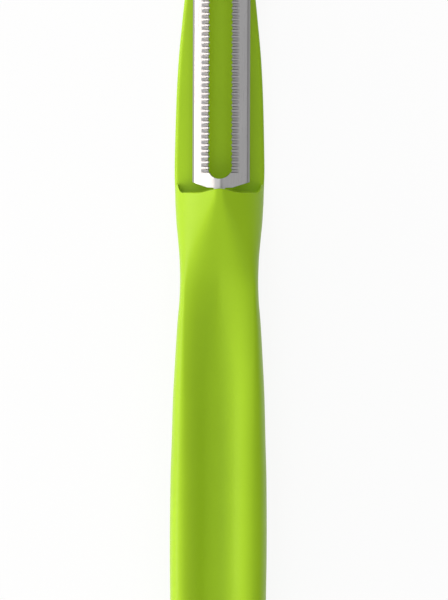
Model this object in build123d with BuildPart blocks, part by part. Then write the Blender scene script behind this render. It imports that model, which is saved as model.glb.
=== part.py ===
"""Straight swivel peeler: a one-piece moulded handle whose head bows behind a double-edged serrated blade.

Millimetres. The peeler lies on its back: +Z is up, out of the blade's cutting side, +Y runs to the nose
and +X is to the right of the cutting side. The origin is under the middle, on the resting plane.
"""

import os
from bisect import bisect_right
from math import atan2, cos, hypot, radians, sin, tan

from build123d import *

# Handle moulding
handle_length = 113.5
nose_length = 17.8
palm_width = 20.4
groove_width = 13.9
crest_height = 13.5
belly_height = 6.3
nose_rise = 8.2
flank_tilt = 31.0
butt_round = 9.5
nose_round = 3.6
end_fullness = 2.3
shoulder_wall = 1.15
rest_depth = 0.15
back_land_share = 0.20
head_land_share = 0.74
side_softness_share = 0.60
crest_softness_share = 0.85
head_softness_share = 0.78
valley_softness_share = 0.52
end_flat_share = 0.18
cap_shares = (0.00, 0.04, 0.13, 0.27, 0.46, 0.70)
handle_bays = 17
head_bays = 10

# Head of the moulding: the bow behind the blade, between the shoulder and the nose
bow_thickness = 3.4
bow_crown_radius = 45.0
head_edge_round = 0.5
boss_width = 9.2
boss_reach = 0.8

# Blade: a strip folded along its middle, with a tang at each end that turns in the moulding
sheet = 0.5
blade_length = 52.6
blade_width = 12.12
fold_radius = 2.8
fold_top = 0.4
blade_tilt = 26.0
rim_width = 0.46
rim_turn = 30.0
rim_bend_radius = 0.9
corner_cut_length = 1.15
corner_cut_width = 3.4
tang_width = 2.25
tang_reach = 3.2
slot_end_land = 1.8
slot_width = 5.06
tooth_pitch = 1.2
tooth_margin = 1.05
flute_radius = 0.62
flute_reach = 1.75
flute_end_depth = 0.2
flute_edge_depth = 0.57
blade_swing = -7.0
swing_limit = 42.0

# Fits
blade_end_gap = 0.25
tang_clearance = 0.06
bore_end_clearance = 0.4
swing_clearance = 0.25
overrun = 3.0

# How the moulding's form changes along it. In each pair the first number is the place: 0 at the butt,
# 1 at the shoulder and 2 at the nose's tip. The second is a share of the size that the table is used with.
width_shares = (
    (0.000, 0.845), (0.115, 0.925), (0.247, 0.988), (0.357, 1.000), (0.467, 0.991), (0.542, 0.967),
    (0.617, 0.945), (0.690, 0.904), (0.764, 0.854), (0.801, 0.818), (0.838, 0.806), (0.875, 0.818),
    (0.912, 0.852), (0.949, 0.891), (0.986, 0.912), (1.065, 0.929), (1.152, 0.919), (1.268, 0.897),
    (1.383, 0.855), (1.499, 0.780), (1.557, 0.738), (1.683, 0.632), (1.821, 0.485), (1.931, 0.335),
    (2.000, 0.235),
)
crest_spread_shares = (
    (0.000, 0.980), (0.500, 1.000), (0.770, 1.035), (0.819, 1.030), (0.856, 0.955), (0.893, 0.845),
    (0.931, 0.670), (0.967, 0.415), (1.000, 0.210), (1.750, 0.190), (2.000, 0.110),
)
crest_height_shares = (
    (0.000, 0.940), (0.150, 0.975), (0.360, 1.000), (0.510, 0.985), (0.643, 0.940), (0.767, 0.868),
    (0.819, 0.838), (0.856, 0.820), (0.893, 0.811), (0.931, 0.817), (0.967, 0.843), (1.000, 0.867),
    (1.752, 0.865), (1.880, 0.820), (2.000, 0.775),
)
valley_height_shares = (
    (0.000, 0.900), (0.150, 0.928), (0.360, 0.940), (0.650, 0.932), (0.740, 0.936), (0.819, 0.950),
    (0.893, 0.972), (0.931, 0.984), (1.000, 1.000), (1.752, 1.000), (1.880, 0.955), (2.000, 0.895),
)
tilt_shares = (
    (0.000, 0.000), (0.640, 0.000), (0.767, 0.250), (0.819, 0.520), (0.856, 0.800), (0.900, 1.000),
    (1.752, 1.000), (2.000, 0.850),
)
crest_reach_shares = (
    (0.000, 0.430), (0.700, 0.430), (0.819, 0.330), (0.893, 0.270), (0.931, 0.255), (0.967, 0.180),
    (1.000, 0.110), (2.000, 0.080),
)
widest_height_shares = (
    (0.000, 1.000), (0.780, 1.000), (0.890, 0.850), (1.000, 0.240), (1.620, 0.240), (1.752, 0.450),
    (1.880, 1.050), (2.000, 1.420),
)
back_rise_shares = (
    (0.000, 0.000), (1.570, 0.000), (1.680, 0.045), (1.766, 0.160), (1.849, 0.370), (1.931, 0.650),
    (2.000, 0.930),
)
head_form_shares = ((0.000, 0.000), (0.800, 0.000), (1.000, 1.000), (1.650, 1.000), (2.000, 0.000))

# Worked out from the sizes above
half_blade = blade_width / 2
fold_corner = fold_top + fold_radius * (1 / cos(radians(blade_tilt)) - 1)
bend_x = half_blade - rim_width
bend_z = fold_corner - bend_x * tan(radians(blade_tilt))
rim_z = bend_z - rim_width * tan(radians(blade_tilt + rim_turn))
swing_depth = hypot(half_blade, rim_z) * sin(atan2(-rim_z, half_blade) + radians(swing_limit))
axis_height = bow_thickness + swing_depth + swing_clearance
tang_half = tang_width / 2
tang_corner_z = fold_top - fold_radius + ((fold_radius - sheet) ** 2 - tang_half**2) ** 0.5
bore_radius = hypot(tang_half, tang_corner_z) + tang_clearance
ridge_height = axis_height + bore_radius + shoulder_wall
slot_length = blade_length - 2 * slot_end_land
end_setback = boss_reach + blade_end_gap
head_length = blade_length + 2 * end_setback + nose_length
overall_length = handle_length + head_length
butt_y = -overall_length / 2
shoulder_y = butt_y + handle_length
blade_low = shoulder_y + end_setback
blade_high = blade_low + blade_length
blade_middle = (blade_low + blade_high) / 2
nose_wall_y = blade_high + end_setback
nose_y = butt_y + overall_length
tooth_count = int((slot_length - 2 * tooth_margin) / tooth_pitch)
bore_low = blade_low - tang_reach - bore_end_clearance
bore_high = blade_high + tang_reach + bore_end_clearance


def between(shares, place):
    """The smooth curve through the pairs of a table, which never overshoots them."""
    xs = [pair[0] for pair in shares]
    ys = [pair[1] for pair in shares]
    slopes = [(ys[i + 1] - ys[i]) / (xs[i + 1] - xs[i]) for i in range(len(xs) - 1)]
    turns = [2 * a * b / (a + b) if a * b > 0 else 0 for a, b in zip(slopes, slopes[1:])]
    tangents = [slopes[0], *turns, slopes[-1]]
    i = min(max(bisect_right(xs, place) - 1, 0), len(slopes) - 1)
    width = xs[i + 1] - xs[i]
    t = (place - xs[i]) / width
    a, b = ys[i], ys[i + 1]
    lead, trail = tangents[i] * width, tangents[i + 1] * width
    return a + t * (lead + t * (3 * (b - a) - 2 * lead - trail + t * (lead + trail - 2 * (b - a))))


def towards(start, end, share):
    """The point that lies this share of the way from start to end."""
    return (start[0] + share * (end[0] - start[0]), start[1] + share * (end[1] - start[1]))


def end_scale(y):
    """How much of a section is left where the moulding closes in to its rounded ends."""
    butt_depth = 1 - (y - butt_y) / butt_round
    nose_depth = 1 - (nose_y - y) / nose_round
    depth = max(butt_depth, nose_depth, 0)
    return (1 - (1 - end_flat_share**end_fullness) * depth**end_fullness) ** (1 / end_fullness)


def half_section(y):
    """The right half of the moulding's section at y: four curves of (x, z) points, from back to top."""
    place = (y - butt_y) / handle_length if y < shoulder_y else 1 + (y - shoulder_y) / head_length
    half_width = palm_width / 2 * between(width_shares, place)
    spread = groove_width / 2 * between(crest_spread_shares, place)
    crest = crest_height * between(crest_height_shares, place)
    valley = ridge_height * between(valley_height_shares, place)
    tilt = radians(flank_tilt * between(tilt_shares, place))
    reach = groove_width / 2 * between(crest_reach_shares, place)
    widest = belly_height * between(widest_height_shares, place)
    back = nose_rise * between(back_rise_shares, place) - rest_depth
    head_form = between(head_form_shares, place)
    land = half_width * (back_land_share + head_form * (head_land_share - back_land_share))
    side_softness = side_softness_share + head_form * (head_softness_share - side_softness_share)
    crest_softness = crest_softness_share + head_form * (head_softness_share - crest_softness_share)

    centre_back = (0, back)
    land_end = (land, back)
    side = (half_width, widest)
    crest_top = (spread, crest)
    valley_top = (0, valley)
    low_corner = (half_width, back)
    high_corner = (half_width, crest - (half_width - spread) * tan(tilt))
    curves = [
        [centre_back, land_end],
        [
            land_end,
            towards(land_end, low_corner, side_softness),
            towards(side, low_corner, side_softness),
            side,
        ],
        [
            side,
            towards(side, high_corner, side_softness),
            towards(crest_top, high_corner, crest_softness),
            crest_top,
        ],
        [
            crest_top,
            (spread - reach * cos(tilt), crest + reach * sin(tilt)),
            (spread * valley_softness_share, valley),
            valley_top,
        ],
    ]
    scale = end_scale(y)
    middle = (0, (back + valley) / 2)
    return [[towards(middle, point, scale) for point in curve] for curve in curves]


def mirrored(points):
    """The same points on the other side of the middle, in the opposite order."""
    return [(-x, z) for x, z in reversed(points)]


def section(y):
    """The moulding's whole section at y."""
    back_line, low_curve, high_curve, valley_curve = half_section(y)
    with BuildSketch(Plane.XZ.offset(-y)) as face:
        with BuildLine():
            Line(mirrored(back_line)[0], back_line[1])
            for curve in (low_curve, high_curve, valley_curve):
                Bezier(*curve)
            for curve in (valley_curve, high_curve, low_curve):
                Bezier(*mirrored(curve))
        make_face()
    return face.sketch


# Folded steel blade, made level about its pivot axis and then swung to where it rests
with BuildPart() as level_blade:
    strip_end = blade_high + tang_reach
    with BuildSketch(Plane.XZ.offset(-strip_end)) as strip:
        with BuildLine():
            FilletPolyline(
                (-half_blade, rim_z),
                (-bend_x, bend_z),
                (0, fold_corner),
                (bend_x, bend_z),
                (half_blade, rim_z),
                radius=[rim_bend_radius, fold_radius, rim_bend_radius],
            )
            offset(amount=sheet, side=Side.RIGHT)
        make_face()
    extrude(amount=blade_length + 2 * tang_reach)

    # The corners of both ends are cut off, and the fold runs on as a tang
    with BuildSketch(Plane.XY.offset(-half_blade)) as outline:
        with BuildLine():
            Polyline(
                (0, blade_low - tang_reach),
                (tang_half, blade_low - tang_reach),
                (tang_half, blade_low),
                (half_blade - corner_cut_width, blade_low),
                (half_blade, blade_low + corner_cut_length),
                (half_blade, blade_high - corner_cut_length),
                (half_blade - corner_cut_width, blade_high),
                (tang_half, blade_high),
                (tang_half, strip_end),
                (0, strip_end),
            )
            mirror(about=Plane.YZ)
        make_face()
    extrude(amount=blade_width, mode=Mode.INTERSECT)

    # Slot between the two cutting edges
    with BuildSketch(Plane.XY.offset(-half_blade)) as slot:
        with Locations((0, blade_middle)):
            SlotOverall(slot_length, slot_width, rotation=90)
    extrude(amount=blade_width, mode=Mode.SUBTRACT)

    # Flutes ground across each flank, deepest at the slot, leave the teeth between them
    along, out = cos(radians(blade_tilt)), sin(radians(blade_tilt))
    slot_half = slot_width / 2
    flute_dip = atan2(flute_edge_depth - flute_end_depth, flute_reach)
    edge_z = fold_corner - slot_half * tan(radians(blade_tilt))
    end_x = slot_half + flute_reach * along - flute_end_depth * out
    end_z = edge_z - flute_reach * out - flute_end_depth * along
    dip = radians(blade_tilt) - flute_dip
    for side in (-1, 1):
        flute_end = Plane(
            origin=(side * (end_x + flute_radius * sin(dip)), blade_middle, end_z + flute_radius * cos(dip)),
            x_dir=(0, 1, 0),
            z_dir=(-side * cos(dip), 0, sin(dip)),
        )
        with BuildSketch(flute_end) as flutes:
            with GridLocations(tooth_pitch, tooth_pitch, tooth_count, 1):
                Circle(flute_radius)
        extrude(amount=flute_reach + slot_half, mode=Mode.SUBTRACT)

blade = Pos(0, 0, axis_height) * Rot(0, blade_swing, 0) * level_blade.part
blade.label = "blade"

# The space in the head that the blade swings in
with BuildPart() as recess:
    with BuildSketch(Plane.XZ.offset(-nose_wall_y)):
        crown_half = palm_width / 2 + overrun
        crown_drop = bow_crown_radius - (bow_crown_radius**2 - crown_half**2) ** 0.5
        with BuildLine():
            ThreePointArc(
                (-crown_half, bow_thickness - crown_drop),
                (0, bow_thickness),
                (crown_half, bow_thickness - crown_drop),
            )
            Polyline(
                (-crown_half, bow_thickness - crown_drop),
                (-crown_half, ridge_height + overrun),
                (crown_half, ridge_height + overrun),
                (crown_half, bow_thickness - crown_drop),
            )
        make_face()
    extrude(amount=nose_wall_y - shoulder_y)

    # Both end walls bulge towards the blade round its tangs
    with BuildSketch(Plane.XY):
        with BuildLine():
            for wall_y, inward in ((shoulder_y, 1), (nose_wall_y, -1)):
                Line((-crown_half, wall_y), (-boss_width / 2, wall_y))
                Spline(
                    (-boss_width / 2, wall_y),
                    (0, wall_y + inward * boss_reach),
                    (boss_width / 2, wall_y),
                    tangents=((1, 0), (1, 0)),
                )
                Line((boss_width / 2, wall_y), (crown_half, wall_y))
            Line((-crown_half, shoulder_y), (-crown_half, nose_wall_y))
            Line((crown_half, shoulder_y), (crown_half, nose_wall_y))
        make_face()
    extrude(amount=ridge_height + overrun, mode=Mode.INTERSECT)

# One-piece moulded handle with its head and nose
grip_start = butt_y + butt_round
nose_start = nose_y - nose_round
grip_steps = [grip_start + (shoulder_y - grip_start) * i / handle_bays for i in range(handle_bays)]
head_steps = [shoulder_y + (nose_start - shoulder_y) * i / head_bays for i in range(head_bays + 1)]
butt_steps = [butt_y + butt_round * share for share in cap_shares]
nose_steps = [nose_y - nose_round * share for share in reversed(cap_shares)]

with BuildPart() as handle:
    loft([section(y) for y in (*butt_steps, *grip_steps, *head_steps, *nose_steps)])
    split(bisect_by=Plane.XY)
    add(recess.part, mode=Mode.SUBTRACT)

    # The edges of the recess are rounded: along the bow, and at the brow and the foot of each end wall
    brows_and_bow = handle.edges(Select.NEW)
    floor = handle.faces().filter_by(GeomType.CYLINDER).sort_by(SortBy.AREA)[-1]
    feet = floor.edges().sort_by(SortBy.LENGTH)[:-2]
    fillet(brows_and_bow + feet, radius=head_edge_round)

    # Round bores for the tangs, in one line through both end walls
    with BuildSketch(Plane.XZ.offset(-bore_high)):
        with Locations((0, axis_height)):
            Circle(bore_radius)
    extrude(amount=bore_high - bore_low, mode=Mode.SUBTRACT)

handle.part.label = "handle"

os.makedirs("parts", exist_ok=True)
export_step(blade, "parts/blade.step")
export_step(handle.part, "parts/handle.step")
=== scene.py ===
"""Straight swivel peeler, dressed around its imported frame: a moulded lime handle and a folded steel blade."""

from bisect import bisect_right
from math import atan2, cos, hypot, pi, radians, sin, tan

import bpy
import numpy as np
from bpy.props import FloatProperty, FloatVectorProperty, IntProperty, PointerProperty
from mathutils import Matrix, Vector


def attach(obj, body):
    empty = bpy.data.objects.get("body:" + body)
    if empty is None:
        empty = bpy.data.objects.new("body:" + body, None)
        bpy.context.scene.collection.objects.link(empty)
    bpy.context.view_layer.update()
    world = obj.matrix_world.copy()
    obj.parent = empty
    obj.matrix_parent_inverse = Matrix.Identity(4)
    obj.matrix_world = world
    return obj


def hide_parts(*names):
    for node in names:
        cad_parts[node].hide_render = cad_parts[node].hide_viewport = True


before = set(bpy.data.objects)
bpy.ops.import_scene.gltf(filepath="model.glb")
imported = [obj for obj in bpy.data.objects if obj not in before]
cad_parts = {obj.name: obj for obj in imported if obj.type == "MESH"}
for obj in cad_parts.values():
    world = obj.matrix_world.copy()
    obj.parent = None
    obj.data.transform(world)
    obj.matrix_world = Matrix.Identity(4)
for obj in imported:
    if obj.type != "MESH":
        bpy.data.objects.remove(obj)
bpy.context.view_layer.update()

bl_info = {
    "name": "Swivel peeler",
    "version": (1, 0, 0),
    "blender": (4, 5, 0),
    "location": "View3D > Sidebar > Peeler",
    "description": "Makes the handle, the blade and the stage of a straight swivel peeler",
    "category": "Add Mesh",
}

MM = 0.001

# How the moulding's form changes along it. In each pair the first number is the place: 0 at the butt,
# 1 at the shoulder and 2 at the nose's tip. The second is a share of the size that the table is used with.
WIDTH_SHARES = (
    (0.000, 0.845), (0.115, 0.925), (0.247, 0.988), (0.357, 1.000), (0.467, 0.991), (0.542, 0.967),
    (0.617, 0.945), (0.690, 0.904), (0.764, 0.854), (0.801, 0.818), (0.838, 0.806), (0.875, 0.818),
    (0.912, 0.852), (0.949, 0.891), (0.986, 0.912), (1.065, 0.929), (1.152, 0.919), (1.268, 0.897),
    (1.383, 0.855), (1.499, 0.780), (1.557, 0.738), (1.683, 0.632), (1.821, 0.485), (1.931, 0.335),
    (2.000, 0.235),
)
CREST_SPREAD_SHARES = (
    (0.000, 0.980), (0.500, 1.000), (0.770, 1.035), (0.819, 1.030), (0.856, 0.955), (0.893, 0.845),
    (0.931, 0.670), (0.967, 0.415), (1.000, 0.210), (1.750, 0.190), (2.000, 0.110),
)
CREST_HEIGHT_SHARES = (
    (0.000, 0.940), (0.150, 0.975), (0.360, 1.000), (0.510, 0.985), (0.643, 0.955), (0.767, 0.884),
    (0.819, 0.844), (0.856, 0.820), (0.893, 0.811), (0.931, 0.817), (0.967, 0.843), (1.000, 0.867),
    (1.752, 0.865), (1.880, 0.820), (2.000, 0.775),
)
VALLEY_HEIGHT_SHARES = (
    (0.000, 0.900), (0.150, 0.925), (0.360, 0.930), (0.550, 0.918), (0.700, 0.902), (0.780, 0.902),
    (0.819, 0.914), (0.856, 0.948), (0.893, 0.972), (0.931, 0.984), (1.000, 1.000), (1.752, 1.000),
    (1.880, 0.955), (2.000, 0.895),
)
VALLEY_SOFTNESS_SHARES = (
    (0.000, 0.520), (0.600, 0.500), (0.740, 0.360), (0.819, 0.220), (0.893, 0.400), (1.000, 0.520),
)
TILT_SHARES = (
    (0.000, 0.000), (0.640, 0.000), (0.767, 0.250), (0.819, 0.520), (0.856, 0.800), (0.900, 1.000),
    (1.752, 1.000), (2.000, 0.850),
)
CREST_REACH_SHARES = (
    (0.000, 0.430), (0.700, 0.430), (0.819, 0.330), (0.893, 0.270), (0.931, 0.255), (0.967, 0.180),
    (1.000, 0.110), (2.000, 0.080),
)
WIDEST_HEIGHT_SHARES = (
    (0.000, 1.000), (0.780, 1.000), (0.890, 0.850), (1.000, 0.240), (1.620, 0.240), (1.752, 0.450),
    (1.880, 1.050), (2.000, 1.420),
)
BACK_RISE_SHARES = (
    (0.000, 0.000), (1.570, 0.000), (1.680, 0.045), (1.766, 0.160), (1.849, 0.370), (1.931, 0.650),
    (2.000, 0.930),
)
HEAD_FORM_SHARES = ((0.000, 0.000), (0.800, 0.000), (1.000, 1.000), (1.650, 1.000), (2.000, 0.000))

# Sizes that the frame is built to, in millimetres. Angles are in degrees, or turned to radians here.
HANDLE_LENGTH = 113.5
NOSE_LENGTH = 17.8
PALM_WIDTH = 20.4
GROOVE_WIDTH = 13.9
CREST_HEIGHT = 13.5
BELLY_HEIGHT = 6.3
NOSE_RISE = 8.2
FLANK_TILT = 31.0
BUTT_ROUND = 9.5
NOSE_ROUND = 3.6
END_FULLNESS = 2.3
SHOULDER_WALL = 1.15
REST_DEPTH = 0.15
BACK_LAND_SHARE = 0.20
HEAD_LAND_SHARE = 0.74
SIDE_SOFTNESS_SHARE = 0.60
CREST_SOFTNESS_SHARE = 0.85
HEAD_SOFTNESS_SHARE = 0.78
BOW_THICKNESS = 3.4
BOW_CROWN_RADIUS = 45.0
BOSS_WIDTH = 9.2
BOSS_REACH = 0.8
BLADE_LENGTH = 52.6
BLADE_END_GAP = 0.25
TANG_WIDTH = 2.25
TANG_REACH = 3.2
TANG_CLEARANCE = 0.06
BORE_END_CLEARANCE = 0.4
SWING_CLEARANCE = 0.25
SWING_LIMIT = 42.0
BLADE_WIDTH = 12.12
FOLD_RADIUS = 2.8
FOLD_TOP = 0.4
FOLD_TILT = radians(26.0)
RIM_WIDTH = 0.46
RIM_TURN = radians(30.0)
RIM_BEND_RADIUS = 0.9
SHEET = 0.5
CORNER_CUT_LENGTH = 1.15
CORNER_CUT_WIDTH = 3.4

HALF_BLADE = BLADE_WIDTH / 2
FOLD_CORNER = FOLD_TOP + FOLD_RADIUS * (1 / cos(FOLD_TILT) - 1)
BEND_X = HALF_BLADE - RIM_WIDTH
BEND_Z = FOLD_CORNER - BEND_X * tan(FOLD_TILT)
RIM_Z = BEND_Z - RIM_WIDTH * tan(FOLD_TILT + RIM_TURN)
SWING_DEPTH = hypot(HALF_BLADE, RIM_Z) * sin(atan2(-RIM_Z, HALF_BLADE) + radians(SWING_LIMIT))
AXIS_HEIGHT = BOW_THICKNESS + SWING_DEPTH + SWING_CLEARANCE
TANG_CORNER_Z = FOLD_TOP - FOLD_RADIUS + ((FOLD_RADIUS - SHEET) ** 2 - (TANG_WIDTH / 2) ** 2) ** 0.5
BORE_RADIUS = hypot(TANG_WIDTH / 2, TANG_CORNER_Z) + TANG_CLEARANCE
RIDGE_HEIGHT = AXIS_HEIGHT + BORE_RADIUS + SHOULDER_WALL
END_SETBACK = BOSS_REACH + BLADE_END_GAP
HEAD_LENGTH = BLADE_LENGTH + 2 * END_SETBACK + NOSE_LENGTH
BUTT_Y = -(HANDLE_LENGTH + HEAD_LENGTH) / 2
SHOULDER_Y = BUTT_Y + HANDLE_LENGTH
BLADE_MIDDLE = SHOULDER_Y + END_SETBACK + BLADE_LENGTH / 2
NOSE_WALL_Y = SHOULDER_Y + BLADE_LENGTH + 2 * END_SETBACK
NOSE_Y = SHOULDER_Y + HEAD_LENGTH

# The side strip runs from the bow's edge up to where the outline has come in to this share of its half
# width. Rows up to this far from an end wall, in millimetres, are moved along to follow its plan.
SIDE_STRIP_SHARE = 0.94
SHIFT_REACH = 12.0

# Other sizes that only the scene's meshes have, in millimetres
SECTION_STEP = 0.25
WALL_MARGIN = 0.25
LEAST_STRIP = 0.1
BORE_OVERRUN = 0.6
TANG_STRAIGHT = 1.2
SEAM = 0.002
# Where the tang leaves the blade: how far past the blade's end, and how much further out than the tang
TANG_ROOT = ((0.03, 0.45), (0.08, 0.12), (0.2, 0.0))

# How fully the bow's long edges are rounded, the most of a wall's height that its brow or its foot takes,
# the height at which a wall has its full form, as a share of its brow and foot together, and the share
# of the side strip's columns over which a wall fades out
EDGE_FULLNESS_SHARE = 0.72
WALL_ROUND_SHARE = 0.4
FULL_WALL_SHARE = 2.2
STRIP_FADE_SHARE = 0.7

# How many steps, columns or rows each stretch of the handle's mesh has
LAND_STEPS = 24
LOW_SIDE_STEPS = 48
HIGH_SIDE_STEPS = 72
TOP_STEPS = 64
BOW_SIDE_STEPS = 159
BOW_TOP_STEPS = 120
BOW_EDGE_STEPS = 24
LOW_COLUMNS = 34
STRIP_COLUMNS = 18
HIGH_COLUMNS = 60
BUTT_ROWS = 20
TIP_ROWS = 12
BROW_ROWS = 6
FACE_ROWS = 7
FOOT_ROWS = 7
BORE_SIDES = 48

# Edges sharper than this aren't smoothed
HANDLE_SHARP_EDGE = radians(40.0)
BLADE_SHARP_EDGE = radians(32.0)


class HandleSettings(bpy.types.PropertyGroup):
    """Sizes and looks of the moulding"""

    brow: FloatProperty(
        name="Brow radius", description="Rounding of the recess's upper edges",
        default=0.25 * MM, min=0.05 * MM, max=0.8 * MM, unit="LENGTH",
    )
    foot: FloatProperty(
        name="Foot radius", description="Rounding where the end walls meet the bow",
        default=0.4 * MM, min=0.05 * MM, max=1.0 * MM, unit="LENGTH",
    )
    bow_edge: FloatProperty(
        name="Bow edge radius", description="Rounding along both edges of the bow",
        default=0.75 * MM, min=0.1 * MM, max=1.2 * MM, unit="LENGTH",
    )
    corner: FloatProperty(
        name="Corner width", description="How far in from the side strip each end wall starts to sweep round",
        default=1.3 * MM, min=0.1 * MM, max=3.0 * MM, unit="LENGTH",
    )
    corner_run: FloatProperty(
        name="Corner run", description="How far each end wall's outer ends sweep along the bow",
        default=1.7 * MM, min=0.1 * MM, max=4.0 * MM, unit="LENGTH",
    )
    strip_ahead: FloatProperty(
        name="Strip before", description="How far before the wall the strip at the side starts to go down",
        default=4.2 * MM, min=0.0, max=6.0 * MM, unit="LENGTH",
    )
    strip_beyond: FloatProperty(
        name="Strip after", description="How far past the wall the strip at the side reaches the bow",
        default=0.6 * MM, min=0.0, max=6.0 * MM, unit="LENGTH",
    )
    row_spacing: FloatProperty(
        name="Row spacing", description="Distance between the mesh's rows along the handle",
        default=0.75 * MM, min=0.3 * MM, max=3.0 * MM, unit="LENGTH",
    )
    colour: FloatVectorProperty(
        name="Colour", description="Colour of the plastic", subtype="COLOR", size=3,
        default=(0.303, 0.510, 0.003), min=0.0, max=1.0,
    )
    grain: FloatProperty(
        name="Grain", description="Size of the mould texture's grain",
        default=0.16 * MM, min=0.05 * MM, max=1.0 * MM, unit="LENGTH",
    )


class BladeSettings(bpy.types.PropertyGroup):
    """Sizes and looks of the blade"""

    swing: FloatProperty(
        name="Swing", description="Turn of the blade about its tangs, as the frame has it",
        default=radians(-7.0), subtype="ANGLE",
    )
    slot_length: FloatProperty(
        name="Slot length", description="Length of the slot over its rounded ends",
        default=49.0 * MM, unit="LENGTH",
    )
    slot_width: FloatProperty(
        name="Slot width", description="Width of the slot between the teeth",
        default=5.06 * MM, unit="LENGTH",
    )
    tooth_pitch: FloatProperty(
        name="Tooth pitch", description="Distance from one tooth to the next",
        default=1.2 * MM, unit="LENGTH",
    )
    tooth_count: IntProperty(
        name="Teeth", description="Number of teeth along the straight part of the slot",
        default=37, min=1, max=60,
    )
    flute_share: FloatProperty(
        name="Flute share", description="Width of a flute as a share of the pitch",
        default=0.70, min=0.3, max=0.95, subtype="FACTOR",
    )
    flute_reach: FloatProperty(
        name="Flute reach", description="Length of the flutes, measured down the flank",
        default=1.75 * MM, unit="LENGTH",
    )
    flute_depth: FloatProperty(
        name="Flute depth", description="Depth of the flutes at the cutting edge",
        default=0.40 * MM, unit="LENGTH",
    )
    scallop: FloatProperty(
        name="Scallop", description="How far each flute cuts back the cutting edge",
        default=0.22 * MM, unit="LENGTH",
    )
    colour: FloatVectorProperty(
        name="Colour", description="Colour of the steel", subtype="COLOR", size=3,
        default=(0.46, 0.452, 0.455), min=0.0, max=1.0,
    )


class StageSettings(bpy.types.PropertyGroup):
    """Light and camera"""

    key: FloatProperty(
        name="Key light", description="Power of the low soft light on the left",
        default=13.2, min=0.0, unit="POWER",
    )
    key_height: FloatProperty(
        name="Key height", description="Height of the key light above the floor, as an angle",
        default=radians(9.0), subtype="ANGLE",
    )
    card: FloatProperty(
        name="Card light", description="Power of the wide pale card above the peeler, to its left",
        default=5.6, min=0.0, unit="POWER",
    )
    ends: FloatProperty(
        name="End lights", description="Power of each of the two lights beyond the peeler's ends",
        default=2.0, min=0.0, unit="POWER",
    )
    fill: FloatProperty(
        name="Fill light", description="Power of the weak light on the right",
        default=1.75, min=0.0, unit="POWER",
    )
    sky: FloatProperty(
        name="Sky", description="Strength of the even light from all round", default=0.15, min=0.0,
    )
    distance: FloatProperty(
        name="Camera distance", description="Height of the camera above the floor",
        default=2.0, min=0.2, unit="LENGTH",
    )
    view_height: FloatProperty(
        name="View height", description="Length of the peeler that the picture takes in",
        default=126.0 * MM, unit="LENGTH",
    )
    roll: FloatProperty(
        name="Roll", description="Turn of the camera about its line of sight",
        default=radians(0.20), subtype="ANGLE",
    )


def between(shares, place):
    """The smooth curve through the pairs of a table, which never overshoots them."""
    xs = [pair[0] for pair in shares]
    ys = [pair[1] for pair in shares]
    slopes = [(ys[i + 1] - ys[i]) / (xs[i + 1] - xs[i]) for i in range(len(xs) - 1)]
    turns = [2 * a * b / (a + b) if a * b > 0 else 0 for a, b in zip(slopes, slopes[1:])]
    tangents = [slopes[0], *turns, slopes[-1]]
    i = min(max(bisect_right(xs, place) - 1, 0), len(slopes) - 1)
    width = xs[i + 1] - xs[i]
    t = (place - xs[i]) / width
    a, b = ys[i], ys[i + 1]
    lead, trail = tangents[i] * width, tangents[i + 1] * width
    return a + t * (lead + t * (3 * (b - a) - 2 * lead - trail + t * (lead + trail - 2 * (b - a))))


def towards(start, end, share):
    """The point that lies this share of the way from start to end."""
    return (start[0] + share * (end[0] - start[0]), start[1] + share * (end[1] - start[1]))


def bezier(points, steps):
    """Points along a Bezier curve of any degree, its last one left out."""
    t = np.arange(steps)[:, None] / steps
    level = [np.array(p, float)[None, :] for p in points]
    while len(level) > 1:
        level = [a + (b - a) * t for a, b in zip(level, level[1:])]
    return level[0] * np.ones_like(t)


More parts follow.
